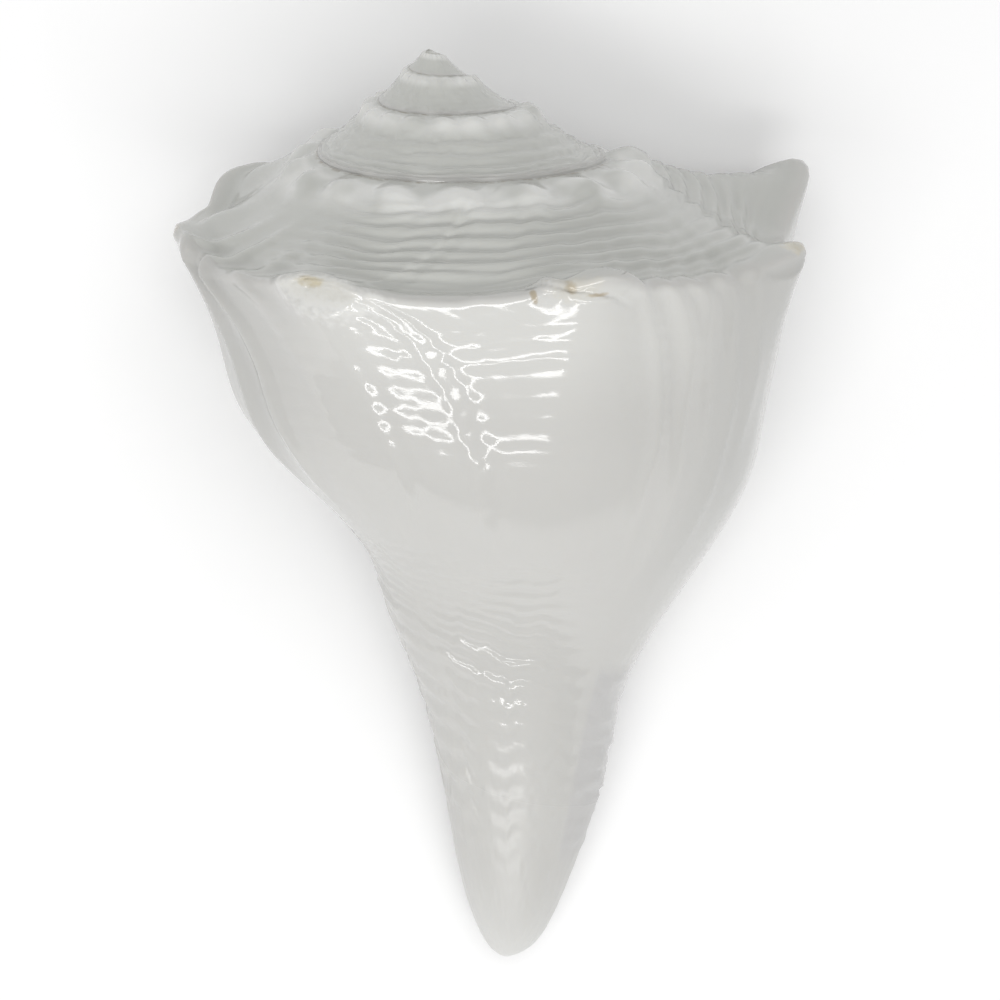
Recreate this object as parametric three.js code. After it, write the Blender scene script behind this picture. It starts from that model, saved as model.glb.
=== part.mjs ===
// A left-handed whelk shell (sold as a conch shell), lying on its mouth.
// Millimetres, Z up. Spire apex toward +Y, tip of the siphonal canal toward -Y,
// the lip lobe toward +X, the rounded back up. It is grown in one piece, so it is one mesh.
//
// The shell is a tube that winds around an axis and grows as it winds. "Age" counts turns
// back from the lip: 0 at the lip, 1 one whole turn older, and so on up the spire.
// "Row" counts down the wall of a whorl: 0 at the suture, 3 at the shoulder, 4 just under
// it (where the next whorl is welded on), 14 at the canal tip.
import * as THREE from "three";

// ---- overall size ----
const shellLength = 187;            // along the axis, apex to canal tip
const shoulderRadius = 77.6;        // scale of the shoulder spiral at the lip
const growthPerTurn = 1.95;         // each turn is this much larger than the one before
const turns = 5;
const lipAzimuth = 60;              // degrees round the axis where the lip meets the suture

// ---- spire ----
const spireSlope = 0.634;           // drop of the shoulder per millimetre of its radius
const spireDome = 3.8;              // extra drop close to the apex
const spireDomeRadius = 4.5;
const apexRounding = 2.5;

// ---- wall, mouth and rest ----
const wallThickness = 3.2;
const cavityTurns = 0.9;            // how far the hollow runs back from the mouth
const canalTuck = 0.28;             // how far the lip edge curls in along the canal
const restRoll = 4.5;               // degrees the shell rolls about its axis as it lies
const restPitch = 13;               // degrees the axis is raised at the apex end as it lies
const restWear = 0.4;               // depth of the worn flats it rests on

// The shoulder line wanders about its spiral: age in turns, outward, downward.
const shoulderWander = [
  [0, 0, -6.5], [0.1, 1.9, -9.5], [0.167, -0.4, -2], [0.214, 0, -0.6], [0.347, 0, -3],
  [0.42, 0, -2.1], [0.5, 0, -2.5], [0.6, 0, 0.2], [0.667, 0, -0.2], [0.75, 0, -6.5],
  [0.86, 0, -0.5], [1, -1.5, -0.8], [1.35, 0, 0],
];

// The wall below the shoulder, at the right side and half a turn older at the left side.
// core is the radius it shrinks toward on the older turns.
const rightAge = 1 / 6;
const leftAge = 2 / 3;
const wallRows = {
  5: { rightR: 63.9, leftR: 43.2, core: 0, rightH: 62, leftH: 48.5 },       // upper body
  6: { rightR: 59.2, leftR: 43.8, core: 8, rightH: 77, leftH: 63 },         // mid body
  7: { rightR: 56.9, leftR: 30.4, core: 8, rightH: 92, leftH: 77.5 },       // lower body
  8: { rightR: 35.4, leftR: 18.9, core: 6, rightH: 118, leftH: 91 },        // slope to the neck
  9: { rightR: 26.7, leftR: 18.8, core: 8, rightH: 131.5, leftH: 104 },     // neck
  10: { rightR: 24.6, leftR: 11.9, core: 8, rightH: 146, leftH: 122 },      // canal
  11: { rightR: 19.4, leftR: 9.1, core: 6, rightH: 160, leftH: 146 },
  12: { rightR: 12.2, leftR: 8.2, core: 4.5, rightH: 176, leftH: 167.5 },
  13: { rightR: 6.8, leftR: 4, core: 2, rightH: 185.5, leftH: 184 },        // canal tip
};

// Knobs along the shoulder of the last turn: age in turns, height.
const knobs = [
  [0.104, 9.8], [0.214, 7.2], [0.347, 6.5], [0.484, 11], [0.657, 8.1], [0.73, 4], [0.88, 4.5],
];
const knobWidth = 0.026;            // in turns
const knobLift = 0.55;              // a knob rises toward the apex by this share of its height

// Swellings along the suture, where each turn climbs over the knobs of the turn before it.
const swellingsPerTurn = 17;
const swellingAge = 0.4;
const swellingHeight = 3.2;

// Three of the knobs are worn flat. Each flat faces this many degrees round the axis and
// this many up, and lies this far from the apex along that direction.
const wornFlats = [
  { around: -114, up: 16, distance: 45 },
  { around: -67, up: 32, distance: 32.8 },
  { around: -35, up: 35, distance: 28.3 },
];
const wallUnderFlat = 2;            // thickness left between a worn flat and the hollow

// The lip edge lies this many degrees back from the suture end: row, degrees.
const lipSetback = [[0, 0], [1.5, -18], [3, -33], [5, -29], [8, -29], [10, -20], [12, -22], [14, -25]];
const setbackFade = 0.85;           // turns over which growth lines straighten out
const lipRounding = 1.6;            // how much the lip's outer corner is rounded off

// ---- fineness of the mesh ----
const columnsPerTurn = 52;
const spireTurns = 4.6;             // turns modelled before the wall closes at the apex
const rampSteps = [6, 4, 3, 2, 2];  // steps from suture to shoulder, on each older turn
const wallSteps = 20;               // steps from the shoulder to the canal tip
const cavityColumns = 32;
const cavitySteps = 13;
const floorTopRow = 4.5;
const innerTopRow = 0.75;
const mouthEndRow = 13.25;          // where the open canal ends at the tip
const deepEndRow = 9.5;             // how far down the hollow reaches deep inside
const deepEndTurns = 0.5;

const turn = 2 * Math.PI;

function ease(value) {
  const t = Math.min(1, Math.max(0, value));
  return t * t * (3 - 2 * t);
}

// Value of one column of a table at x, eased from entry to entry.
function between(table, x, column) {
  let i = 0;
  while (i < table.length - 2 && x >= table[i + 1][0]) i += 1;
  const t = ease((x - table[i][0]) / (table[i + 1][0] - table[i][0]));
  return table[i][column] + (table[i + 1][column] - table[i][column]) * t;
}

function growth(age) {
  return growthPerTurn ** -age - growthPerTurn ** -turns;
}

// Distance of the shoulder below the apex, from its radius.
function spireDrop(radius) {
  const r = Math.hypot(radius, apexRounding) - apexRounding;
  return spireSlope * r + spireDome * (1 - Math.exp(-r / spireDomeRadius));
}

// Control point of the whorl's section: r from the axis, h down from the apex.
function controlPoint(row, age) {
  const g = growth(age);
  const shoulderR = shoulderRadius * g + between(shoulderWander, age, 1);
  const shoulderH = spireDrop(shoulderRadius * g) + between(shoulderWander, age, 2);
  if (row === -1) return mirrored(controlPoint(0, age), controlPoint(1, age));
  if (row === 0) {
    const [a, b, c] = [3, 4, 5].map((older) => controlPoint(older, age + 1));
    return { r: (a.r + 4 * b.r + c.r) / 6, h: (a.h + 4 * b.h + c.h) / 6 };
  }
  if (row === 1 || row === 2) {
    const suture = controlPoint(0, age);
    const part = row === 1 ? 0.36 : 0.75;
    const sag = row === 1 ? -1 : 3;
    return {
      r: suture.r + (shoulderR - suture.r) * part,
      h: suture.h + (shoulderH - suture.h) * part + sag * g,
    };
  }
  if (row === 3) return { r: shoulderR, h: shoulderH };
  if (row === 4) {
    const below = 5.5 - 4.5 * ease((age - 0.9) / 0.2);
    return { r: shoulderR * 0.995, h: shoulderH + below * g };
  }
  if (row === 14) return { r: 0, h: shellLength };
  if (row === 15) return mirrored(controlPoint(14, age), controlPoint(13, age));
  const wall = wallRows[row];
  const halfTurns = (age - rightAge) / (leftAge - rightAge);
  const right = wall.rightR - wall.core;
  const left = wall.leftR - wall.core;
  const point = {
    r: wall.core + right * (left / right) ** halfTurns,
    h: wall.rightH * (wall.leftH / wall.rightH) ** halfTurns,
  };
  if (row > 5) return point;
  const spireShare = ease((age - 0.7) / 0.6);
  return {
    r: point.r + (shoulderR * 0.985 - point.r) * spireShare,
    h: point.h + (shoulderH + (16 - 9 * ease((age - 1.05) / 0.3)) * g - point.h) * spireShare,
  };
}

function mirrored(end, before) {
  return { r: 2 * end.r - before.r, h: 2 * end.h - before.h };
}

// The whorl's section as a smooth curve through its control points.
function section(row, age) {
  const first = Math.min(Math.floor(row), 13);
  const t = row - first;
  const weights = [
    (1 - t) ** 3 / 6,
    (3 * t ** 3 - 6 * t ** 2 + 4) / 6,
    (-3 * t ** 3 + 3 * t ** 2 + 3 * t + 1) / 6,
    t ** 3 / 6,
  ];
  let r = 0;
  let h = 0;
  weights.forEach((weight, i) => {
    const point = controlPoint(first - 1 + i, age);
    r += weight * point.r;
    h += weight * point.h;
  });
  return { r, h };
}

// How far the knobs stand out at a place on the wall.
function knobHeight(row, age) {
  let height = 0;
  for (const [knobAge, size] of knobs) height += size * Math.exp(-(((age - knobAge) / knobWidth) ** 2));
  return height * growth(age) * Math.exp(-(((row - 3) / (row < 3 ? 1.05 : 1.6)) ** 2));
}

function swelling(row, age) {
  const ripple = Math.cos((turn / 2) * swellingsPerTurn * (age - swellingAge)) ** 2;
  return swellingHeight * growth(age) * (0.25 + 0.75 * ripple) * Math.exp(-(((row - 0.5) / 0.32) ** 2));
}

function place(r, h, age) {
  const azimuth = (lipAzimuth / 360 - age) * turn;
  return new THREE.Vector3(r * Math.cos(azimuth), r * Math.sin(azimuth), -h);
}

// Columns of the mesh follow the growth lines, which lean back from the suture.
function trueAge(row, columnAge) {
  return columnAge - (between(lipSetback, row, 1) / 360) * ease(1 - columnAge / setbackFade);
}

function tuck(row, columnAge) {
  return 1 - canalTuck * ease((row - 8.5) / 2.5) * ease(1 - columnAge / 0.12);
}

// Cuts a point back to the worn flats, or to this depth below them.
function wearFlat(point, depth) {
  for (const { around, up, distance } of wornFlats) {
    const az = (around * turn) / 360;
    const el = (up * turn) / 360;
    const level = Math.cos(el);
    const facing = new THREE.Vector3(level * Math.cos(az), level * Math.sin(az), Math.sin(el));
    point.addScaledVector(facing, -Math.max(0, point.dot(facing) - distance + depth));
  }
  return point;
}

function outerPoint(row, columnAge) {
  const age = trueAge(row, columnAge);
  const { r, h } = section(row, age);
  const knob = knobHeight(row, age);
  const swell = swelling(row, age);
  const corner = lipRounding * ease(1 - columnAge / 0.03) * Math.exp(-(((row - 3) / 0.35) ** 2));
  const radius = r + knob + 0.4 * swell - corner;
  return wearFlat(place(radius * tuck(row, columnAge), h - knobLift * knob - 0.9 * swell, age), 0);
}

// Inner face of the last whorl's wall, thinner at the lip and along the canal.
function innerPoint(row, columnAge) {
  const age = trueAge(row, columnAge);
  const above = section(row - 0.02, age);
  const below = section(row + 0.02, age);
  const { r, h } = section(row, age);
  const dr = below.r - above.r;
  const dh = below.h - above.h;
  const lipThinning = Math.min(1, 0.65 + 3.5 * columnAge);
  const canalThinning = 1 - 0.35 * ease((row - 8) / 5);
  const thickness = Math.min(wallThickness * lipThinning * canalThinning, 0.45 * r);
  const knob = 0.85 * knobHeight(row, age);
  const radius = r + knob - (thickness * dh) / Math.hypot(dr, dh);
  const drop = h - knobLift * knob + (thickness * dr) / Math.hypot(dr, dh);
  return wearFlat(place(radius * tuck(row, columnAge), drop, age), wallUnderFlat);
}

// The older whorl and the pillar as they run on inside the hollow.
function floorPoint(row, age) {
  const mouth = section(row, 1);
  const mouthTop = section(4, 1);
  const top = section(4, age);
  const pillarShare = ease((row - 4) / 5);
  const shrunkR = (mouth.r * top.r) / mouthTop.r;
  const shrunkH = top.h + (mouth.h - mouthTop.h) * (growth(age) / growth(1)) ** 0.6;
  return place(
    shrunkR + (mouth.r * 0.6 ** (age - 1) - shrunkR) * pillarShare,
    shrunkH + (mouth.h - shrunkH) * pillarShare,
    age,
  );
}

// ---- mesh building ----
const points = [];
const faces = [];

function addPoint(point) {
  points.push(point);
  return points.length - 1;
}

function addFace(a, b, c) {
  if (a !== b && b !== c && a !== c) faces.push(a, c, b);
}

function range(count) {
  return Array.from({ length: count }, (_, i) => i);
}

// Net between columns of points, all columns with the same number of rows.
function addGrid(columns) {
  for (let j = 0; j + 1 < columns.length; j += 1) {
    for (let i = 0; i + 1 < columns[j].length; i += 1) {
      addFace(columns[j][i], columns[j][i + 1], columns[j + 1][i + 1]);
      addFace(columns[j][i], columns[j + 1][i + 1], columns[j + 1][i]);
    }
  }
}

// Strip between two lines of points that may differ in number. rows rise along each line.
function addStrip(left, leftRows, right, rightRows) {
  let i = 0;
  let j = 0;
  while (i < left.length - 1 || j < right.length - 1) {
    const rightDone = j === right.length - 1;
    const leftNext = i < left.length - 1 && (rightDone || leftRows[i + 1] <= rightRows[j + 1]);
    if (leftNext) {
      addFace(left[i], left[i + 1], right[j]);
      i += 1;
    } else {
      addFace(left[i], right[j + 1], right[j]);
      j += 1;
    }
  }
}

// Outside of the spire and of the last whorl's ramp. Each turn's upper edge is the next
// older turn's row 4, so both share the points of the suture line.
const spireColumns = Math.round(spireTurns * columnsPerTurn);
const apex = addPoint(new THREE.Vector3(0, 0, 0));
const suture = range(spireColumns + 1).map((j) => addPoint(outerPoint(4, j / columnsPerTurn)));
const rampRows = rampSteps.map((steps) => range(steps + 1).map((i) => (4 * i) / steps));

function rampColumn(j, rows) {
  return rows.map((row, i) => {
    if (i === 0) return suture[j + columnsPerTurn] ?? apex;
    if (i === rows.length - 1) return suture[j];
    return addPoint(outerPoint(row, j / columnsPerTurn));
  });
}

let lipRamp;
let lastColumn;
rampRows.forEach((rows, older) => {
  const start = older * columnsPerTurn;
  const end = Math.min(start + columnsPerTurn, spireColumns);
  const firstOwn = older === 0 ? start : start + 1;
  const columns = range(end - firstOwn + 1).map((j) => rampColumn(firstOwn + j, rows));
  if (older === 0) [lipRamp] = columns;
  else addStrip(lastColumn, rampRows[older - 1], columns[0], rows);
  addGrid(columns);
  lastColumn = columns[columns.length - 1];
});
for (let i = 1; i + 1 < lastColumn.length; i += 1) addFace(lastColumn[i], lastColumn[i + 1], apex);

// Outside of the last whorl below the suture line, down to the canal tip.
const evenRows = range(wallSteps + 1).map((i) => 4 + (10 * i) / wallSteps);
const outerRows = [...new Set([...evenRows, floorTopRow, mouthEndRow])].sort((a, b) => a - b);
const canalTip = addPoint(new THREE.Vector3(0, 0, -shellLength));
const outerColumns = range(columnsPerTurn + 1).map((j) => outerRows.map((row) => {
  if (row === 4) return suture[j];
  if (row === 14) return canalTip;
  return addPoint(outerPoint(row, j / columnsPerTurn));
}));
addGrid(outerColumns);
const lipWall = outerColumns[0];
const oldWall = outerColumns[columnsPerTurn];
const mouthTop = outerRows.indexOf(floorTopRow);
const mouthEnd = outerRows.indexOf(mouthEndRow);

// The hollow: its floor on the older whorl, and the inner face of the last whorl's wall.
const shares = range(cavitySteps + 1).map((i) => i / cavitySteps);
const innerColumns = [];
const floorColumns = [];
range(cavityColumns + 1).forEach((k) => {
  const back = (cavityTurns * k) / cavityColumns;
  const endRow = mouthEndRow + (deepEndRow - mouthEndRow) * ease(back / deepEndTurns);
  const rowBelow = (topRow, share) => topRow + share * (endRow - topRow);
  innerColumns.push(shares.map((share) => addPoint(innerPoint(rowBelow(innerTopRow, share), back))));
  if (k === 0) return;
  floorColumns.push(shares.map((share) => addPoint(floorPoint(rowBelow(floorTopRow, share), 1 + back))));
});
const oldWallInMouth = oldWall.slice(mouthTop, mouthEnd + 1);
const oldWallShares = outerRows.slice(mouthTop, mouthEnd + 1)
  .map((row) => (row - floorTopRow) / (mouthEndRow - floorTopRow));
addStrip(oldWallInMouth, oldWallShares, floorColumns[0], shares);
addGrid(floorColumns);
addGrid(innerColumns.map((column) => [...column].reverse()));

// Where the wall's inner face meets the floor, above and below, and at the deep end.
const last = cavitySteps;
const floorTop = [oldWall[mouthTop], ...floorColumns.map((column) => column[0])];
const floorBottom = [oldWall[mouthEnd], ...floorColumns.map((column) => column[last])];
const innerTop = innerColumns.map((column) => column[0]);
const innerBottom = innerColumns.map((column) => column[last]);
addGrid([floorTop, innerTop]);
addGrid([innerBottom, floorBottom]);
addStrip(floorColumns[cavityColumns - 1], shares, innerColumns[cavityColumns], shares);

// The lip: a rounded edge from the outside to the inner face.
const innerRows = shares.map((s) => innerTopRow + s * (mouthEndRow - innerTopRow));
const lipRows = [...rampRows[0], ...outerRows.slice(1)];
const lipOutside = [...lipRamp, ...lipWall.slice(1)];
const lipMiddle = innerRows.map((row, i) => {
  const outside = outerPoint(row, 0);
  const inside = points[innerColumns[0][i]];
  const forward = new THREE.Vector3(-outside.y, outside.x, 0).normalize();
  const middle = outside.clone().add(inside).multiplyScalar(0.5);
  return addPoint(middle.addScaledVector(forward, 0.4 * outside.distanceTo(inside)));
});
const middleLine = [lipRamp[0], ...lipMiddle, canalTip];
const middleRows = [0, ...innerRows, 14];
const insideLine = [...oldWall.slice(0, mouthTop + 1), ...innerColumns[0], ...oldWall.slice(mouthEnd)];
const insideRows = [
  ...outerRows.slice(0, mouthTop + 1).map((row) => 0.9 * (row - 4)),
  ...innerRows,
  ...outerRows.slice(mouthEnd),
];
addStrip(middleLine, middleRows, lipOutside, lipRows);
addStrip(insideLine, insideRows, middleLine, middleRows);

// ---- laid on its mouth, worn flat where it touches, centred over its footprint ----
const radians = Math.PI / 180;
const geometry = new THREE.BufferGeometry().setFromPoints(points);
geometry.setIndex(faces);
geometry.rotateZ(-restRoll * radians);
geometry.rotateX(-(90 - restPitch) * radians);
geometry.computeBoundingBox();
const { min, max } = geometry.boundingBox;
geometry.translate(-(min.x + max.x) / 2, -(min.y + max.y) / 2, -min.z - restWear);
const position = geometry.getAttribute("position");
for (let i = 0; i < position.count; i += 1) position.setZ(i, Math.max(0, position.getZ(i)));
geometry.computeVertexNormals();

const bleachedShell = new THREE.MeshStandardMaterial({ color: 0xe6e5e0, roughness: 0.35 });
const shell = new THREE.Mesh(geometry, bleachedShell);
shell.name = "shell";

const group = new THREE.Group();
group.add(shell);
export default group;
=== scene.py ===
import math

import bpy
import numpy as np
from mathutils import Matrix, Vector


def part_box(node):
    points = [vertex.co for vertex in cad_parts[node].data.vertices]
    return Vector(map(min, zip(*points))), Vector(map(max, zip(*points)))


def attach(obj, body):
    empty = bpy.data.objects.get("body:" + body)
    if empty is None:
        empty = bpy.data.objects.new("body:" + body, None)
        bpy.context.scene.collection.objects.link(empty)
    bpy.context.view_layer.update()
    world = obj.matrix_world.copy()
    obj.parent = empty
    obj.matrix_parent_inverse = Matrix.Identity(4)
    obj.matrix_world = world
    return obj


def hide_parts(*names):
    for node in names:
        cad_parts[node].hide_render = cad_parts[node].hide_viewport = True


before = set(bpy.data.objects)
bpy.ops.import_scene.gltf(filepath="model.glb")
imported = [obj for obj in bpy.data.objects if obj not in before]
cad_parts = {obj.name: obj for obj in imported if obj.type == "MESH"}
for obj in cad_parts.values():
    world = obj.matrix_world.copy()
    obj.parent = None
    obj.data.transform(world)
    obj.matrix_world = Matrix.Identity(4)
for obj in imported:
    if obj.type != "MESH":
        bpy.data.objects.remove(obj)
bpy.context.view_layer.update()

# A left-handed whelk shell (sold as a conch shell) lying on its mouth. Lengths inside this
# script are millimetres in the shell's own frame: Z along its axis, apex at 0, canal tip down,
# and the side that faces the camera toward -Y. lay_down() turns them into the row frame.
#
# "Age" counts turns back from the lip. "Row" counts down the wall of a whorl: 0 at the
# suture, 3 at the shoulder, 4 where the next whorl is welded on, 14 at the canal tip.

# ---- overall size, as in the CAD part ----
SHELL_LENGTH = 187.0
SHOULDER_RADIUS = 77.6
GROWTH_PER_TURN = 1.95
TURNS = 5.0
LIP_AZIMUTH = 60.0
SPIRE_SLOPE = 0.634
SPIRE_DOME = 3.8
SPIRE_DOME_RADIUS = 4.5
APEX_ROUNDING = 2.5
WALL_THICKNESS = 3.2
CAVITY_TURNS = 0.9
CANAL_TUCK = 0.28
REST_ROLL = 4.5
REST_PITCH = 13.0
REST_WEAR = 0.4

# age in turns, outward, downward
SHOULDER_WANDER = [
    (0, 0, -6.5), (0.1, 1.9, -9.5), (0.167, -0.4, -2), (0.214, 0, -0.6), (0.347, 0, -3),
    (0.42, 0, -2.1), (0.5, 0, -2.5), (0.6, 0, 0.2), (0.667, 0, -0.2), (0.75, 0, -6.5),
    (0.86, 0, -0.5), (1, -1.5, -0.8), (1.35, 0, 0),
]

# row: radius right and left, radius of the core, drop right and left
RIGHT_AGE = 1 / 6
LEFT_AGE = 2 / 3
WALL_ROWS = {
    5: (63.9, 43.2, 0, 62, 48.5),
    6: (59.2, 43.8, 8, 77, 63),
    7: (56.9, 30.4, 8, 92, 77.5),
    8: (35.4, 18.9, 6, 118, 91),
    9: (26.7, 18.8, 8, 131.5, 104),
    10: (24.6, 11.9, 8, 146, 122),
    11: (19.4, 9.1, 6, 160, 146),
    12: (12.2, 8.2, 4.5, 176, 167.5),
    13: (6.8, 4, 2, 185.5, 184),
}

# age, height
KNOBS = [
    (0.104, 9.8), (0.214, 7.2), (0.347, 6.5), (0.484, 11), (0.657, 8.1), (0.73, 4), (0.88, 4.5),
]
KNOB_WIDTH = 0.026
KNOB_LIFT = 0.55
SWELLINGS_PER_TURN = 17      # along the suture, where a turn climbs over the one before
SWELLING_AGE = 0.4
SWELLING_HEIGHT = 3.2

# worn flats on three knobs: degrees round the axis, degrees up, distance from the apex
WALL_UNDER_FLAT = 2.0
WORN_FLATS = [(-114, 16, 45.0), (-67, 32, 32.8), (-35, 35, 28.3)]
LIP_SETBACK = [(0, 0), (1.5, -18), (3, -33), (5, -29), (8, -29), (10, -20), (12, -22), (14, -25)]
SETBACK_FADE = 0.85
LIP_ROUNDING = 1.6

# ---- fineness of the mesh ----
COLUMNS_PER_TURN = 280
FINE_AGE = 0.42              # columns lie closest together here, and again a turn older
FINE_SHARE = 0.35
SPIRE_TURNS = 4.6
RAMP_STEPS = [80, 36, 16, 8, 6]
WALL_STEPS = [(4, 7.2, 60), (7.2, 9, 40), (9, 13, 55), (13, 14, 8)]
CAVITY_COLUMNS = 100
CAVITY_STEPS = 40
FLOOR_TOP_ROW = 4.5
INNER_TOP_ROW = 0.75
MOUTH_END_ROW = 13.25
DEEP_END_ROW = 9.5
DEEP_END_TURNS = 0.5

# ---- surface relief, millimetres unless named otherwise ----
CORDS_PER_ROW = 4.2          # spiral cords on the last ramp
OLDER_CORDS_PER_ROW = 2.2    # and on the older ramps
CORD_HEIGHT = 0.38
BANDS_PER_ROW = 4.0          # rounded spiral bands on the body
BAND_HEIGHT = 0.13
RIDGES_PER_ROW = 3.1         # spiral ridges on the neck and canal
RIDGE_HEIGHT = 0.24
THREADS_PER_ROW = 6.0        # fine threads where the body turns into the neck
THREAD_HEIGHT = 0.13
CHANNEL_DEPTH = 0.9          # hollow that runs round just above the shoulder
CREST_HEIGHT = 0.6           # the edge of the shoulder
COLLAR_HEIGHT = 0.7          # rounded collar under the suture of the older turns
SCAR_AGE = 0.40              # the old lip that shows as a scar across the front

# the lean of the growth lines: row, degrees
LEAN = [
    (0, 14), (1, 0), (2, -14), (2.8, -24.5), (3.4, -21), (4, -14), (4.4, -9.5), (5, -5), (6, -1),
    (7, 0), (8, 3), (10, -1), (14, -9),
]

# folds that run down from the shoulder: age, width in turns, height
FOLDS = [
    (0.322, 0.005, 0.7), (0.301, 0.006, 0.8), (0.283, 0.006, 0.7), (0.266, 0.007, 1.0),
    (0.246, 0.007, 0.9), (0.545, 0.009, 1.0), (0.590, 0.008, 2.1), (0.624, 0.008, 2.3),
    (0.680, 0.012, 1.0),
]
FOLD_START_ROW = 3.4
NEWER_FOLD_LEAN = 0.35       # folds newer than the scar lean by this share of the growth lines

# domes, hollows and dents on the knobs: age, reach in turns, row, reach in rows, height
KNOB_MARKS = [
    (0.342, 0.012, 2.90, 0.55, 2.7),
    (0.367, 0.006, 2.85, 0.40, 1.9),
    (0.222, 0.024, 2.80, 0.60, 1.2),
    (0.3585, 0.0045, 3.15, 0.40, -0.9),
    (0.206, 0.006, 2.85, 0.25, -0.9),
    (0.656, 0.005, 3.10, 0.18, -0.8),
]


def ease(value):
    t = np.clip(value, 0, 1)
    return t * t * (3 - 2 * t)


def between(table, x, column):
    """Value of one column of a table at x, eased from entry to entry."""
    starts = np.array([entry[0] for entry in table], float)
    values = np.array([entry[column] for entry in table], float)
    x = np.asarray(x, float)
    i = np.clip(np.searchsorted(starts, x, side="right") - 1, 0, len(starts) - 2)
    t = ease((x - starts[i]) / (starts[i + 1] - starts[i]))
    return values[i] + (values[i + 1] - values[i]) * t


def growth(age):
    return GROWTH_PER_TURN ** -np.asarray(age, float) - GROWTH_PER_TURN ** -TURNS


def spire_drop(radius):
    r = np.hypot(radius, APEX_ROUNDING) - APEX_ROUNDING
    return SPIRE_SLOPE * r + SPIRE_DOME * (1 - np.exp(-r / SPIRE_DOME_RADIUS))


def mirrored(end, before):
    return 2 * end[0] - before[0], 2 * end[1] - before[1]


def control_point(row, age):
    """Control point of the whorl's section: radius, and drop below the apex."""
    g = growth(age)
    shoulder_r = SHOULDER_RADIUS * g + between(SHOULDER_WANDER, age, 1)
    shoulder_h = spire_drop(SHOULDER_RADIUS * g) + between(SHOULDER_WANDER, age, 2)
    if row == -1:
        return mirrored(control_point(0, age), control_point(1, age))
    if row == 0:
        a, b, c = (control_point(older, age + 1) for older in (3, 4, 5))
        return (a[0] + 4 * b[0] + c[0]) / 6, (a[1] + 4 * b[1] + c[1]) / 6
    if row in (1, 2):
        suture = control_point(0, age)
        part = 0.36 if row == 1 else 0.75
        sag = -1 if row == 1 else 3
        r = suture[0] + (shoulder_r - suture[0]) * part
        return r, suture[1] + (shoulder_h - suture[1]) * part + sag * g
    if row == 3:
        return shoulder_r, shoulder_h
    if row == 4:
        return shoulder_r * 0.995, shoulder_h + (5.5 - 4.5 * ease((age - 0.9) / 0.2)) * g
    if row == 14:
        return 0 * g, SHELL_LENGTH + 0 * g
    if row == 15:
        return mirrored(control_point(14, age), control_point(13, age))
    right_r, left_r, core, right_h, left_h = WALL_ROWS[row]
    half_turns = (age - RIGHT_AGE) / (LEFT_AGE - RIGHT_AGE)
    r = core + (right_r - core) * ((left_r - core) / (right_r - core)) ** half_turns
    h = right_h * (left_h / right_h) ** half_turns
    if row > 5:
        return r, h
    spire_share = ease((age - 0.7) / 0.6)
    r = r + (shoulder_r * 0.985 - r) * spire_share
    below = 16 - 9 * ease((age - 1.05) / 0.3)
    return r, h + (shoulder_h + below * g - h) * spire_share


def section(row, age):
    """The whorl's section as a smooth curve through its control points."""
    first = min(int(math.floor(row)), 13)
    t = row - first
    weights = (
        (1 - t) ** 3 / 6,
        (3 * t ** 3 - 6 * t ** 2 + 4) / 6,
        (-3 * t ** 3 + 3 * t ** 2 + 3 * t + 1) / 6,
        t ** 3 / 6,
    )
    r = 0
    h = 0
    for i, weight in enumerate(weights):
        point = control_point(first - 1 + i, age)
        r = r + weight * point[0]
        h = h + weight * point[1]
    return r, h


def knob_height(row, age):
    height = 0
    for knob_age, size in KNOBS:
        height = height + size * np.exp(-((age - knob_age) / KNOB_WIDTH) ** 2)
    return height * growth(age) * math.exp(-((row - 3) / (1.05 if row < 3 else 1.6)) ** 2)


def swelling(row, age):
    ripple = np.cos(math.pi * SWELLINGS_PER_TURN * (age - SWELLING_AGE)) ** 2
    return SWELLING_HEIGHT * growth(age) * (0.25 + 0.75 * ripple) * math.exp(-((row - 0.5) / 0.32) ** 2)


def place(r, h, age):
    azimuth = (LIP_AZIMUTH / 360 - age) * 2 * math.pi
    return np.stack([r * np.cos(azimuth), r * np.sin(azimuth), -h], -1)


def true_age(row, column_age):
    return column_age - between(LIP_SETBACK, row, 1) / 360 * ease(1 - column_age / SETBACK_FADE)


def tuck(row, column_age):
    return 1 - CANAL_TUCK * ease((row - 8.5) / 2.5) * ease(1 - column_age / 0.12)


def wear_flat(points, depth):
    for around, up, distance in WORN_FLATS:
        around = math.radians(around)
        up = math.radians(up)
        level = math.cos(up)
        normal = np.array([level * math.cos(around), level * math.sin(around), math.sin(up)])
        points = points - normal * np.maximum(0, points @ normal - distance + depth)[..., None]
    return points


def outer_point(row, column_age):
    age = true_age(row, column_age)
    r, h = section(row, age)
    knob = knob_height(row, age)
    swell = swelling(row, age)
    corner = LIP_ROUNDING * ease(1 - column_age / 0.03) * math.exp(-((row - 3) / 0.35) ** 2)
    radius = r + knob + 0.4 * swell - corner
    return wear_flat(place(radius * tuck(row, column_age), h - KNOB_LIFT * knob - 0.9 * swell, age), 0)


def inner_point(row, column_age):
    age = true_age(row, column_age)
    above = section(row - 0.02, age)
    below = section(row + 0.02, age)
    r, h = section(row, age)
    dr = below[0] - above[0]
    dh = below[1] - above[1]
    lip_thinning = np.minimum(1, 0.65 + 3.5 * column_age)
    canal_thinning = 1 - 0.35 * ease((row - 8) / 5)
    thickness = np.minimum(WALL_THICKNESS * lip_thinning * canal_thinning, 0.45 * r)
    knob = 0.85 * knob_height(row, age)
    radius = r + knob - thickness * dh / np.hypot(dr, dh)
    drop = h - KNOB_LIFT * knob + thickness * dr / np.hypot(dr, dh)
    return wear_flat(place(radius * tuck(row, column_age), drop, age), WALL_UNDER_FLAT)


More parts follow.
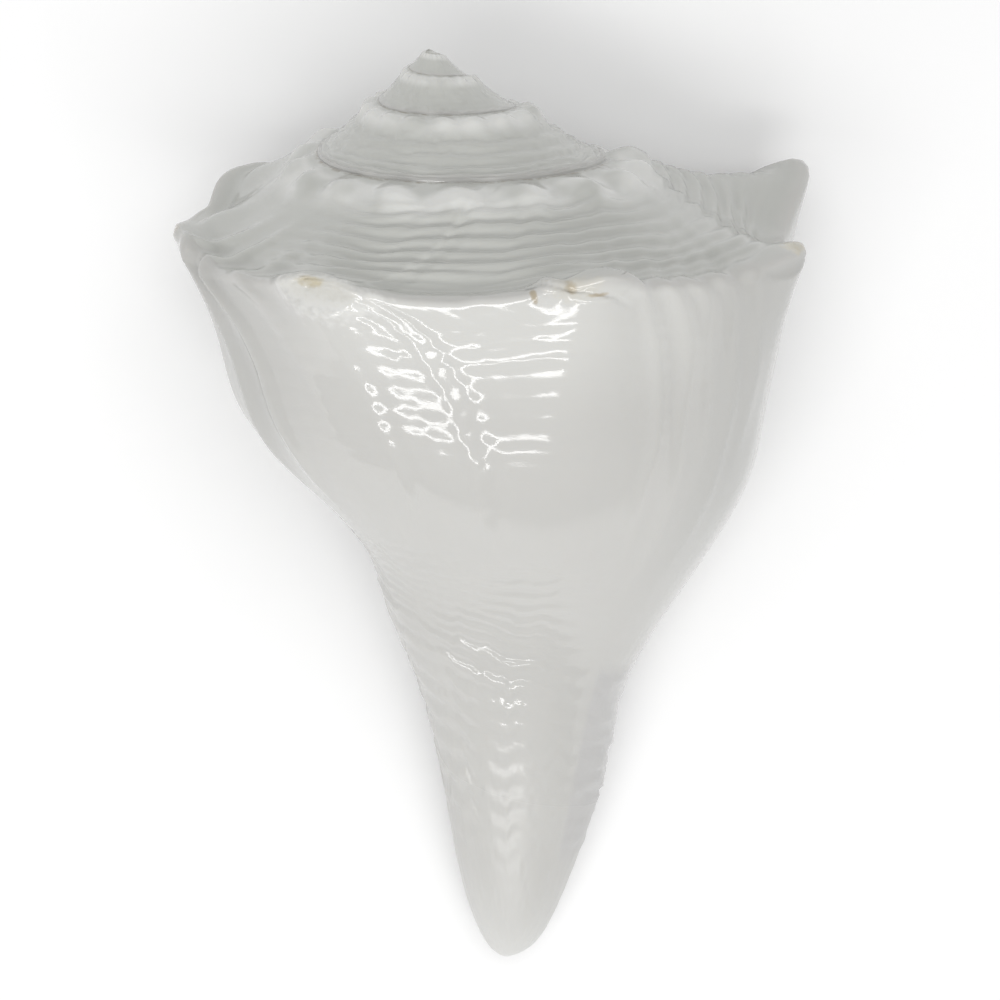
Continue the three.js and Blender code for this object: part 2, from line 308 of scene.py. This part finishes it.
def floor_point(row, age):
    """The older whorl and the pillar as they run on inside the hollow."""
    mouth = section(row, np.float64(1))
    mouth_top = section(4, np.float64(1))
    top = section(4, age)
    pillar_share = ease((row - 4) / 5)
    shrunk_r = mouth[0] * top[0] / mouth_top[0]
    shrunk_h = top[1] + (mouth[1] - mouth_top[1]) * (growth(age) / growth(1)) ** 0.6
    r = shrunk_r + (mouth[0] * 0.6 ** (age - 1) - shrunk_r) * pillar_share
    return place(r, shrunk_h + (mouth[1] - shrunk_h) * pillar_share, age)


# ---- relief ----
def noise(x, y, seed):
    """Smooth seeded noise between -1 and 1, one cell per unit."""
    cells = np.random.default_rng(seed).uniform(-1, 1, (97, 97))
    x = np.asarray(x, float) + 0 * np.asarray(y, float)
    y = np.asarray(y, float) + 0 * x
    i = np.floor(x).astype(int)
    j = np.floor(y).astype(int)
    u = ease(x - i)
    v = ease(y - j)
    low = cells[i % 97, j % 97] * (1 - u) + cells[(i + 1) % 97, j % 97] * u
    high = cells[i % 97, (j + 1) % 97] * (1 - u) + cells[(i + 1) % 97, (j + 1) % 97] * u
    return low * (1 - v) + high * v


def window(x, start, end, fade):
    return ease((x - start) / fade + 0.5) * ease((end - x) / fade + 0.5)


def bump(x, middle, width):
    return np.exp(-((x - middle) / width) ** 2)


def growth_line(row, age):
    """One number for each growth line: the age at which it crosses the lower body."""
    rows, degrees = zip(*LEAN)
    return age + np.interp(row, rows, degrees) / 360


def spiral_lines(row, age, line, wander, jumps):
    """Cords on the ramps, bands on the body, threads and ridges on the neck and canal."""
    last_turn = ease((1.05 - age) / 0.1)
    uneven = 1 + 0.5 * noise(line * 14, row, 3)
    cords = np.cos(2 * math.pi * (CORDS_PER_ROW * row + wander + jumps))
    older_cords = np.cos(2 * math.pi * (OLDER_CORDS_PER_ROW * row + wander))
    height = CORD_HEIGHT * cords * window(row, 0.7, 2.25, 0.4) * window(age, -1, 0.53, 0.1) * uneven
    ledge = bump(row, 1.95, 0.22) * (0.5 + noise(line * 16, 0, 12))
    height = height + 0.7 * ledge * window(age, 0.2, 0.47, 0.05)
    height = height - CHANNEL_DEPTH * bump(row, 2.4, 0.26) + CREST_HEIGHT * bump(row, 3.1, 0.3)
    height = height * last_turn
    height = height + CORD_HEIGHT * older_cords * window(row, 0.9, 3.3, 0.4) * (1 - last_turn)
    height = height + COLLAR_HEIGHT * bump(row, 0.55, 0.28) * (1 - last_turn)

    band = BANDS_PER_ROW * row + 0.7 * wander + jumps
    across = band - np.round(band)
    in_front = 0.2 + 0.8 * window(age, 0.29, 0.53, 0.06)
    rounded = (1 - 4 * across ** 2) * window(row, 4.1, 5.9, 0.8)
    height = height + BAND_HEIGHT * rounded * in_front * uneven

    threads = np.cos(2 * math.pi * (THREADS_PER_ROW * row + 2 * wander))
    above_neck = window(row, 7.3, 9.0, 0.6) * window(line, 0.33, 0.9, 0.1)
    height = height + THREAD_HEIGHT * threads * above_neck
    ridges = np.cos(2 * math.pi * (RIDGES_PER_ROW * row + 0.9 * wander))
    on_neck = window(row, 8.6, 11.2, 1.2) * (0.35 + 0.65 * window(line, 0.36, 0.7, 0.05))
    return height + RIDGE_HEIGHT * ridges * on_neck * uneven


def growth_marks(row, age, line):
    """Folds, the healed scar, growth threads and wrinkles, all along the growth lines."""
    height = 0.03 * noise(line * 170, row * 0.7, 6) * (1 - ease((row - 8) / 2))
    height = height + 0.13 * noise(line * 40, row * 0.5, 8) * window(row, 0.4, 9.5, 1)
    height = height + 0.05 * noise(line * 90, row * 7, 13) * window(row, 10, 13.2, 1)
    for fold_age, width, fold_height in FOLDS:
        bend = 0.004 * noise(row * 1.1, fold_age * 50, 14)
        reach = 6.6 + noise(0, fold_age * 70, 15)
        lean = NEWER_FOLD_LEAN if fold_age < SCAR_AGE else 1.0
        start = np.interp(FOLD_START_ROW, *zip(*LEAN)) / 360
        fold = bump(age + (line - age - start) * lean, fold_age + bend, width)
        fading = 1 + 0.5 * abs(row - FOLD_START_ROW)
        height = height + fold_height * fold * window(row, 1.6, reach, 1.4) / fading

    wobble = 0.0016 * noise(row * 5, 0, 16)
    past = line - SCAR_AGE + wobble
    scar = 0.2 * bump(past, 0.005, 0.0035) - 0.32 * bump(past, -0.005, 0.005)
    height = height + scar * window(row, 0.1, 6.8, 0.9)
    faint = 0.12 * bump(past, 0.052, 0.003) - 0.1 * bump(past, 0.044, 0.004)
    height = height + faint * window(row, 4.2, 6.6, 0.8)
    crumple = noise(line * 190, row * 11, 17) * window(line, 0.398, 0.432, 0.012)
    return height + 0.14 * crumple * window(row, 2.9, 4.5, 0.4)


def knob_marks(row, age):
    """Domes, hollows, a crack and pits on the knobs."""
    height = 0
    for mark_age, reach, mark_row, row_reach, size in KNOB_MARKS:
        height = height + size * bump(age, mark_age, reach) * bump(row, mark_row, row_reach)
    crack = bump(age, 0.358 - 0.045 * (row - 3.2), 0.0024) * window(row, 2.8, 3.75, 0.3)
    height = height - 0.6 * crack
    pits = np.minimum(0, noise(age * 420, row * 16, 19) + 0.1)
    return height + 0.8 * pits * bump(age, 0.486, 0.008) * bump(row, 3.15, 0.35)


def relief(row, age):
    """How far the surface stands out of the smooth whorl, millimetres."""
    size = growth(age)
    line = growth_line(row, age)
    past_scar = ease((SCAR_AGE - line) / 0.006 + 0.5)
    wander = 0.32 * noise(line * 34, row * 1.2, 1) + 0.12 * noise(line * 90, row * 2, 2)
    height = spiral_lines(row, age, line, wander, 0.35 * past_scar)
    height = height + growth_marks(row, age, line) + knob_marks(row, age)
    height = height + 0.25 * noise(age * 75, row * 2, 11) * bump(row, 3.0, 0.35)
    canal_edge = window(row, 8.6, 11.3, 0.4) * window(age, -1, 0.25, 0.02)
    height = height + 0.35 * noise(age * 20, row * 11, 21) * canal_edge
    height = height * np.minimum(1, 1.8 * size)

    # nothing may stand out along the suture lines, where two whorls share their points
    seam = 1 - bump(row, 0, 0.08)
    welded = 1 - ease((age - 0.93) / 0.06) * ease((row - 3.5) / 0.4) * ease((4.6 - row) / 0.4)
    tip = ease((13.9 - row) / 0.6)
    return height * seam * welded * tip


# ---- mesh building ----
def column_age(column):
    """Age of a column of the mesh, the same spacing on every turn."""
    turns_back = np.asarray(column) / COLUMNS_PER_TURN
    wave = np.sin(2 * math.pi * (turns_back - FINE_AGE)) + math.sin(2 * math.pi * FINE_AGE)
    return turns_back - FINE_SHARE / (2 * math.pi) * wave


class Surface:
    """Points and triangles, with a row and a growth line on each corner of each triangle."""

    def __init__(self):
        self.points = []
        self.count = 0
        self.faces = []
        self.marks = []
        self.finishes = []

    def add_points(self, points):
        points = np.asarray(points, float).reshape(-1, 3)
        first = self.count
        self.points.append(points)
        self.count += len(points)
        return np.arange(first, self.count)

    def add_faces(self, faces, marks, finish):
        faces = np.asarray(faces, int).reshape(-1, 3)
        marks = np.asarray(marks, float).reshape(-1, 3, 2)
        a, b, c = faces.T
        real = (a != b) & (b != c) & (a != c)
        self.faces.append(faces[real][:, [0, 2, 1]])
        self.marks.append(marks[real][:, [0, 2, 1]])
        self.finishes.append(np.full(int(real.sum()), finish))

    def add_grid(self, grid, marks, finish):
        """grid: rows x columns of point numbers. marks: the same with (line, row) at each."""
        def corners(which):
            a, b, c, d = which[:-1, :-1], which[1:, :-1], which[1:, 1:], which[:-1, 1:]
            return a, b, c, d
        a, b, c, d = (part.ravel() for part in corners(grid))
        ma, mb, mc, md = (part.reshape(-1, 2) for part in corners(marks))
        self.add_faces(np.stack([a, b, c], 1), np.stack([ma, mb, mc], 1), finish)
        self.add_faces(np.stack([a, c, d], 1), np.stack([ma, mc, md], 1), finish)

    def add_strip(self, left, left_rows, right, right_rows, left_line, right_line, finish):
        """Strip between two lines of points that may differ in number."""
        i = 0
        j = 0
        faces = []
        marks = []
        while i < len(left) - 1 or j < len(right) - 1:
            left_mark = (left_line, left_rows[i])
            right_mark = (right_line, right_rows[j])
            right_done = j == len(right) - 1
            if i < len(left) - 1 and (right_done or left_rows[i + 1] <= right_rows[j + 1]):
                faces.append((left[i], left[i + 1], right[j]))
                marks.append((left_mark, (left_line, left_rows[i + 1]), right_mark))
                i += 1
            else:
                faces.append((left[i], right[j + 1], right[j]))
                marks.append((left_mark, (right_line, right_rows[j + 1]), right_mark))
                j += 1
        self.add_faces(faces, marks, finish)


OUTSIDE = 0
INSIDE = 1


def build_shell():
    surface = Surface()
    n = COLUMNS_PER_TURN
    last = round(SPIRE_TURNS * n)
    apex = surface.add_points([[0, 0, 0]])[0]
    suture = surface.add_points(outer_point(4, column_age(np.arange(last + 1))))

    # outside of the spire and of the last whorl's ramp
    ramp_rows = [np.linspace(0, 4, steps + 1) for steps in RAMP_STEPS]
    relief_of = {}

    def note_relief(numbers, row, ages):
        for number, value in zip(numbers, relief(row, ages)):
            relief_of[int(number)] = float(value)

    lip_ramp = None
    last_column = None
    for older, rows in enumerate(ramp_rows):
        start = older * n
        end = min(start + n, last)
        columns = np.arange(start if older == 0 else start + 1, end + 1)
        ages = column_age(columns)
        grid = np.zeros((len(rows), len(columns)), int)
        marks = np.zeros((len(rows), len(columns), 2))
        grid[0] = [suture[j + n] if j + n <= last else apex for j in columns]
        grid[-1] = suture[columns]
        for i, row in enumerate(rows):
            age = true_age(row, ages)
            marks[i, :, 0] = age
            marks[i, :, 1] = row
            if 0 < i < len(rows) - 1:
                grid[i] = surface.add_points(outer_point(row, ages))
                note_relief(grid[i], row, age)
        note_relief(grid[-1], 4.0, true_age(4.0, ages))
        if older == 0:
            lip_ramp = grid[:, 0]
        else:
            rows_before = ramp_rows[older - 1]
            surface.add_strip(last_column, rows_before, grid[:, 0], rows, older, older, OUTSIDE)
        surface.add_grid(grid, marks, OUTSIDE)
        last_column = grid[:, -1]
    fan = [(last_column[i], last_column[i + 1], apex) for i in range(1, len(last_column) - 1)]
    surface.add_faces(fan, np.zeros((len(fan), 3, 2)), OUTSIDE)

    # outside of the last whorl below the suture line
    steps = [np.linspace(a, b, count + 1) for a, b, count in WALL_STEPS]
    outer_rows = np.unique(np.round(np.concatenate(steps + [[FLOOR_TOP_ROW, MOUTH_END_ROW]]), 6))
    tip = surface.add_points([[0, 0, -SHELL_LENGTH]])[0]
    columns = np.arange(n + 1)
    grid = np.zeros((len(outer_rows), n + 1), int)
    marks = np.zeros((len(outer_rows), n + 1, 2))
    for i, row in enumerate(outer_rows):
        age = true_age(row, column_age(columns))
        marks[i, :, 0] = age
        marks[i, :, 1] = row
        if i == 0:
            grid[i] = suture[columns]
        elif i == len(outer_rows) - 1:
            grid[i] = tip
        else:
            grid[i] = surface.add_points(outer_point(row, column_age(columns)))
            note_relief(grid[i], row, age)
    surface.add_grid(grid, marks, OUTSIDE)
    lip_wall = grid[:, 0]
    old_wall = grid[:, -1]
    mouth_top = int(np.argmin(abs(outer_rows - FLOOR_TOP_ROW)))
    mouth_end = int(np.argmin(abs(outer_rows - MOUTH_END_ROW)))

    # the hollow: its floor on the older whorl, and the inner face of the wall
    shares = np.linspace(0, 1, CAVITY_STEPS + 1)
    back = CAVITY_TURNS * np.linspace(0, 1, CAVITY_COLUMNS + 1)
    end_rows = MOUTH_END_ROW + (DEEP_END_ROW - MOUTH_END_ROW) * ease(back / DEEP_END_TURNS)
    inner = np.zeros((CAVITY_STEPS + 1, CAVITY_COLUMNS + 1, 3))
    floor = np.zeros_like(inner)
    inner_marks = np.zeros((CAVITY_STEPS + 1, CAVITY_COLUMNS + 1, 2))
    floor_marks = np.zeros_like(inner_marks)
    for k in range(CAVITY_COLUMNS + 1):
        for i, share in enumerate(shares):
            inner_row = INNER_TOP_ROW + share * (end_rows[k] - INNER_TOP_ROW)
            floor_row = FLOOR_TOP_ROW + share * (end_rows[k] - FLOOR_TOP_ROW)
            inner[i, k] = inner_point(inner_row, np.float64(back[k]))
            floor[i, k] = floor_point(floor_row, np.float64(1 + back[k]))
            inner_marks[i, k] = (back[k], inner_row)
            floor_marks[i, k] = (1 + back[k], floor_row)
    inner_grid = surface.add_points(inner).reshape(inner.shape[:2])
    floor_grid = surface.add_points(floor[:, 1:]).reshape(CAVITY_STEPS + 1, CAVITY_COLUMNS)
    in_mouth = slice(mouth_top, mouth_end + 1)
    old_shares = (outer_rows[in_mouth] - FLOOR_TOP_ROW) / (MOUTH_END_ROW - FLOOR_TOP_ROW)
    surface.add_strip(old_wall[in_mouth], old_shares, floor_grid[:, 0], shares, 1, 1, INSIDE)
    surface.add_grid(floor_grid, floor_marks[:, 1:], INSIDE)
    surface.add_grid(inner_grid[::-1], inner_marks[::-1], INSIDE)

    # where the wall's inner face meets the floor, above and below, and at the deep end
    floor_top = np.concatenate([[old_wall[mouth_top]], floor_grid[0]])
    floor_bottom = np.concatenate([[old_wall[mouth_end]], floor_grid[-1]])
    unmarked = np.zeros((CAVITY_COLUMNS + 1, 2, 2))
    surface.add_grid(np.stack([floor_top, inner_grid[0]], 1), unmarked, INSIDE)
    surface.add_grid(np.stack([inner_grid[-1], floor_bottom], 1), unmarked, INSIDE)
    surface.add_strip(floor_grid[:, -1], shares, inner_grid[:, -1], shares, 2, 2, INSIDE)

    # the lip: a rounded edge from the outside to the inner face
    inner_rows = INNER_TOP_ROW + shares * (MOUTH_END_ROW - INNER_TOP_ROW)
    middle = []
    for i, row in enumerate(inner_rows):
        outside = outer_point(row, np.float64(0))
        inside = inner[i, 0]
        forward = np.array([-outside[1], outside[0], 0])
        forward = forward / np.linalg.norm(forward)
        middle.append((outside + inside) / 2 + forward * 0.4 * np.linalg.norm(outside - inside))
    middle = surface.add_points(middle)
    middle_line = np.concatenate([[lip_ramp[0]], middle, [tip]])
    middle_rows = np.concatenate([[0], inner_rows, [14]])
    lip_line = np.concatenate([lip_ramp, lip_wall[1:]])
    lip_rows = np.concatenate([ramp_rows[0], outer_rows[1:]])
    inside_line = np.concatenate([old_wall[:mouth_top + 1], inner_grid[:, 0], old_wall[mouth_end:]])
    above_mouth = 0.9 * (outer_rows[:mouth_top + 1] - 4)
    inside_rows = np.concatenate([above_mouth, inner_rows, outer_rows[mouth_end:]])
    surface.add_strip(middle_line, middle_rows, lip_line, lip_rows, 0, 0, INSIDE)
    surface.add_strip(inside_line, inside_rows, middle_line, middle_rows, 0, 0, INSIDE)

    points = np.concatenate(surface.points)
    faces = np.concatenate(surface.faces)
    marks = np.concatenate(surface.marks)
    finishes = np.concatenate(surface.finishes)

    # raise the relief along the smooth surface's own normals
    normals = np.zeros_like(points)
    a, b, c = (points[faces[:, i]] for i in range(3))
    face_normals = np.cross(b - a, c - a)
    for i in range(3):
        np.add.at(normals, faces[:, i], face_normals)
    normals /= np.linalg.norm(normals, axis=1, keepdims=True) + 1e-12
    height = np.zeros(len(points))
    for number, value in relief_of.items():
        height[number] = value
    points = points + normals * height[:, None]
    return points, faces, marks, finishes


# ---- from the shell's frame to the row frame ----
PITCHED = Matrix.Rotation(math.radians(REST_PITCH - 90), 3, "X")
ROLLED = Matrix.Rotation(math.radians(-REST_ROLL), 3, "Z")
TURN_DOWN = np.array(PITCHED @ ROLLED)

points, faces, marks, finishes = build_shell()
turned = points @ TURN_DOWN.T
low = turned.min(0)
high = turned.max(0)
low[2] += REST_WEAR
cad_low, cad_high = (np.array(corner) * 1000 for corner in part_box("shell"))
stretch = (cad_high - cad_low) / (high - low)


def lay_down(place_mm):
    """Millimetres in the shell's frame to metres in the row frame."""
    return (cad_low + (np.asarray(place_mm) @ TURN_DOWN.T - low) * stretch) / 1000


laid = lay_down(points)
laid[:, 2] = np.maximum(laid[:, 2], 0)

mesh = bpy.data.meshes.new("shell_visual")
mesh.from_pydata(laid.tolist(), [], faces.tolist())
mesh.polygons.foreach_set("use_smooth", np.ones(len(faces), bool))
mesh.polygons.foreach_set("material_index", finishes.astype(np.int32))
growth_map = mesh.uv_layers.new(name="growth")
growth_map.data.foreach_set("uv", marks.reshape(-1))
mesh.update()
shell = bpy.data.objects.new("shell_visual", mesh)
bpy.context.scene.collection.objects.link(shell)
print("triangles", len(faces), "stretch", stretch)


# ---- materials ----
BLEACHED = (0.565, 0.56, 0.538)
BLEACHED_SHADE = (0.525, 0.52, 0.50)
INNER = (0.72, 0.70, 0.66)
INNER_SHADE = (0.68, 0.65, 0.60)
RAMP_COLOUR = (0.53, 0.54, 0.508)
SUTURE_LIGHT_COLOUR = (0.80, 0.80, 0.78)
DIRT_COLOUR = (0.30, 0.27, 0.22)
UNDER_SHOULDER_LIGHT_COLOUR = (0.66, 0.66, 0.635)
SIDE_SHADE_COLOUR = (0.455, 0.455, 0.437)
CANAL_EDGE_COLOUR = (0.47, 0.465, 0.47)
TIP_COLOUR = (0.66, 0.66, 0.64)
SPECK_COLOUR = (0.20, 0.17, 0.13)

# stains on the knobs, broad ones first; the first, whiter one is painted light on the rounded rim round
# the worn flat: age, row, reach in turns, reach in rows, colour, strength
KNOB_STAINS_AND_HIGHLIGHT = [
    # painted highlight: whiter patch on the rim round the worn flat
    (0.478, 3.40, 0.038, 0.90, (0.74, 0.74, 0.72), 0.8),
    (0.479, 3.35, 0.029, 0.62, (0.58, 0.57, 0.525), 0.8),
    (0.486, 3.15, 0.009, 0.35, (0.52, 0.46, 0.32), 0.8),
    (0.358, 3.10, 0.0035, 0.35, (0.33, 0.25, 0.13), 0.8),
    (0.347, 3.50, 0.006, 0.10, (0.40, 0.32, 0.20), 0.7),
    (0.374, 3.20, 0.002, 0.35, (0.35, 0.28, 0.17), 0.7),
    (0.355, 3.20, 0.014, 0.60, (0.60, 0.575, 0.49), 0.4),
    (0.206, 2.85, 0.013, 0.50, (0.60, 0.56, 0.44), 0.8),
    (0.656, 3.10, 0.009, 0.35, (0.50, 0.44, 0.34), 0.7),
]


class Material:
    """A node material, with short ways to add the nodes that this script needs."""

    def __init__(self, name):
        self.made = bpy.data.materials.new(name)
        self.made.use_nodes = True
        self.made.node_tree.nodes.clear()
        self.links = self.made.node_tree.links

    def node(self, kind):
        return self.made.node_tree.nodes.new(kind)

    def math(self, operation, first, second):
        """first and second are sockets or plain numbers."""
        node = self.node("ShaderNodeMath")
        node.operation = operation
        for socket, value in zip(node.inputs, (first, second)):
            if isinstance(value, (int, float)):
                socket.default_value = value
            else:
                self.links.new(value, socket)
        return node.outputs[0]

    def product(self, *values):
        result = values[0]
        for value in values[1:]:
            result = self.math("MULTIPLY", result, value)
        return result

    def noise(self, place_of, scale, detail):
        node = self.node("ShaderNodeTexNoise")
        node.inputs["Scale"].default_value = scale
        node.inputs["Detail"].default_value = detail
        self.links.new(place_of, node.inputs["Vector"])
        return node.outputs["Fac"]

    def faded(self, value, start, end):
        """0 where value is start, 1 where it is end, smooth between."""
        node = self.node("ShaderNodeMapRange")
        node.interpolation_type = "SMOOTHSTEP"
        node.inputs["From Min"].default_value = start
        node.inputs["From Max"].default_value = end
        self.links.new(value, node.inputs["Value"])
        return node.outputs["Result"]

    def blended(self, under, over, factor):
        """Colour "over" laid on the colour socket or plain colour "under"."""
        node = self.node("ShaderNodeMix")
        node.data_type = "RGBA"
        node.inputs["B"].default_value = (*over, 1)
        if isinstance(under, tuple):
            node.inputs["A"].default_value = (*under, 1)
        else:
            self.links.new(under, node.inputs["A"])
        self.links.new(factor, node.inputs["Factor"])
        return node.outputs["Result"]

    def closeness(self, value, middle, reach):
        """Squared distance from the middle, in reaches."""
        offset = self.math("DIVIDE", self.math("SUBTRACT", value, middle), reach)
        return self.math("POWER", self.math("ABSOLUTE", offset, 0), 2)


def weathered_with_painted_light(look, colour, place_of, age, row):
    """The outside's colour: ramp, painted light under the sutures and under the shoulder, painted shade
    on the sides, dirt, stains, a painted highlight round a worn flat, and specks.
    """
    on_ramp = look.faded(row, 3.1, 2.5)
    colour = look.blended(colour, RAMP_COLOUR, look.product(on_ramp, 0.7))
    # painted light: the swellings and collars just under each suture are made lighter, as if lit
    patches = look.faded(look.noise(place_of, 90, 2), 0.3, 0.55)
    lit_under_sutures = look.product(look.faded(row, 0.12, 0.3), look.faded(row, 1.1, 0.6), patches)
    colour = look.blended(colour, SUTURE_LIGHT_COLOUR, look.product(lit_under_sutures, 0.65))
    ragged = look.noise(place_of, 700, 4)
    dirt = look.product(look.faded(row, 0.10, 0.02), look.faded(ragged, 0.35, 0.65))
    colour = look.blended(colour, DIRT_COLOUR, look.product(dirt, 0.8))

    # painted light: a lighter band on the front just under the shoulder
    under = look.product(look.faded(row, 3.1, 3.4), look.faded(row, 5.4, 4.2))
    under = look.product(under, look.faded(age, 0.52, 0.45), look.faded(age, 0.25, 0.31))
    colour = look.blended(colour, UNDER_SHOULDER_LIGHT_COLOUR, look.product(under, 0.55))
    # painted shade: the left and right sides of the body are made darker
    shaded_sides = look.math("ADD", look.faded(age, 0.50, 0.57), look.faded(age, 0.29, 0.24))
    shaded_sides = look.product(shaded_sides, look.faded(row, 3.0, 3.5), look.faded(row, 8.2, 6.8))
    colour = look.blended(colour, SIDE_SHADE_COLOUR, look.product(shaded_sides, 0.55))
    canal_edge = look.product(look.faded(row, 8.5, 8.8), look.faded(row, 11.5, 11.1))
    canal_edge = look.product(canal_edge, look.faded(age, 0.262, 0.246))
    colour = look.blended(colour, CANAL_EDGE_COLOUR, look.product(canal_edge, 0.45))
    colour = look.blended(colour, TIP_COLOUR, look.product(look.faded(row, 11.3, 13), 0.6))

    # stains, and the painted highlight round the worn flat
    for patch_age, patch_row, reach, row_reach, tint, strength in KNOB_STAINS_AND_HIGHLIGHT:
        along = look.closeness(age, patch_age, reach)
        down = look.closeness(row, patch_row, row_reach)
        distance = look.math("ADD", look.math("ADD", along, down), look.product(ragged, 1.6))
        amount = look.product(look.faded(distance, 1.7, 0.8), strength)
        colour = look.blended(colour, tint, amount)

    specks = look.node("ShaderNodeTexVoronoi")
    specks.inputs["Scale"].default_value = 45
    look.links.new(place_of, specks.inputs["Vector"])
    speck = look.faded(specks.outputs["Distance"], 0.022, 0.010)
    return look.blended(colour, SPECK_COLOUR, look.product(speck, 0.6))


def shell_material(name, base, shade, outside):
    look = Material(name)
    out = look.node("ShaderNodeOutputMaterial")
    shader = look.node("ShaderNodeBsdfPrincipled")
    shader.inputs["Specular IOR Level"].default_value = 0.7
    shader.inputs["Subsurface Weight"].default_value = 0.12
    shader.inputs["Subsurface Radius"].default_value = (1.0, 0.9, 0.75)
    shader.inputs["Subsurface Scale"].default_value = 0.003
    place_of = look.node("ShaderNodeTexCoord").outputs["Object"]
    marks_of = look.node("ShaderNodeUVMap")
    marks_of.uv_map = "growth"
    parts = look.node("ShaderNodeSeparateXYZ")
    look.links.new(marks_of.outputs["UV"], parts.inputs["Vector"])
    age = parts.outputs["X"]
    row = parts.outputs["Y"]

    colour = look.blended(base, shade, look.noise(place_of, 45, 5))
    if outside:
        colour = weathered_with_painted_light(look, colour, place_of, age, row)
    look.links.new(colour, shader.inputs["Base Color"])
    satin = look.product(look.faded(row, 9.3, 11), 0.2)
    look.links.new(look.math("ADD", satin, 0.1), shader.inputs["Roughness"])

    bumps = look.node("ShaderNodeBump")
    bumps.inputs["Strength"].default_value = 0.1
    bumps.inputs["Distance"].default_value = 0.0002
    look.links.new(look.noise(place_of, 600, 3), bumps.inputs["Height"])
    look.links.new(bumps.outputs["Normal"], shader.inputs["Normal"])
    look.links.new(shader.outputs["BSDF"], out.inputs["Surface"])
    return look.made


mesh.materials.append(shell_material("bleached_shell", BLEACHED, BLEACHED_SHADE, True))
mesh.materials.append(shell_material("inner_shell", INNER, INNER_SHADE, False))

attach(shell, "root")
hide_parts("shell")

# ---- floor ----
floor_mesh = bpy.data.meshes.new("floor")
FLOOR_REACH = 3.0            # metres from the middle to each edge
corners = [(-1, -1, 0), (1, -1, 0), (1, 1, 0), (-1, 1, 0)]
floor_corners = [(x * FLOOR_REACH, y * FLOOR_REACH, z) for x, y, z in corners]
floor_mesh.from_pydata(floor_corners, [], [(0, 1, 2, 3)])
floor = bpy.data.objects.new("floor", floor_mesh)
bpy.context.scene.collection.objects.link(floor)
floor_look = Material("floor")
floor_out = floor_look.node("ShaderNodeOutputMaterial")
floor_shader = floor_look.node("ShaderNodeBsdfPrincipled")
floor_shader.inputs["Base Color"].default_value = (0.93, 0.93, 0.93, 1)
floor_shader.inputs["Roughness"].default_value = 0.9
floor_look.links.new(floor_shader.outputs["BSDF"], floor_out.inputs["Surface"])
floor_mesh.materials.append(floor_look.made)

# ---- camera: over the shell's back, a little toward the apex ----
CAMERA_ELEVATION = 16.7      # degrees above the shell's equator
CAMERA_ROLL = 4.6
CAMERA_DISTANCE = 634.7
CAMERA_TARGET = (7.06, 0.0, -90.3)
FRAME_WIDTH = 200.0          # millimetres seen across the frame at the target
SENSOR = 36.0

elevation = math.radians(CAMERA_ELEVATION)
roll = math.radians(CAMERA_ROLL)
backward = np.array([0, -math.cos(elevation), math.sin(elevation)])
sideways = np.array([1.0, 0, 0])
upward = np.cross(backward, sideways)
camera_x = math.cos(roll) * sideways - math.sin(roll) * upward
camera_y = math.sin(roll) * sideways + math.cos(roll) * upward
target = np.array(CAMERA_TARGET)
camera_data = bpy.data.cameras.new("camera")
camera = bpy.data.objects.new("camera", camera_data)
bpy.context.scene.collection.objects.link(camera)
camera_data.sensor_width = SENSOR
camera_data.lens = SENSOR * CAMERA_DISTANCE / FRAME_WIDTH
axes = [Vector(TURN_DOWN @ axis) for axis in (camera_x, camera_y, backward)]
turn = Matrix((axes[0], axes[1], axes[2])).transposed()
camera_place = Vector(lay_down(target + backward * CAMERA_DISTANCE))
camera.matrix_world = Matrix.Translation(camera_place) @ turn.to_4x4()
bpy.context.scene.camera = camera
middle = Vector(lay_down(target))


# ---- light: place from the shell's middle, width, height (metres), power (watts) ----
def softbox(name, position, width, height, power, mirrored_too=True):
    data = bpy.data.lights.new(name, "AREA")
    data.shape = "RECTANGLE"
    data.size = width
    data.size_y = height
    data.energy = power
    light = bpy.data.objects.new(name, data)
    light.visible_glossy = mirrored_too
    light.location = middle + Vector(position)
    light.rotation_euler = (-Vector(position)).to_track_quat("-Z", "Y").to_euler()
    bpy.context.scene.collection.objects.link(light)


softbox("strip_window", (-0.32, -0.90, 0.72), 1.1, 0.07, 1.9)
softbox("key", (-0.15, -0.52, 1.05), 1.3, 0.22, 5.6)
softbox("overhead", (0.0, 0.30, 1.20), 1.2, 1.0, 5.4, mirrored_too=False)

world = bpy.data.worlds.new("studio")
world.use_nodes = True
world.node_tree.nodes["Background"].inputs["Color"].default_value = (1, 1, 1, 1)
world.node_tree.nodes["Background"].inputs["Strength"].default_value = 0.48
bpy.context.scene.world = world
bpy.context.scene.view_settings.view_transform = "Standard"
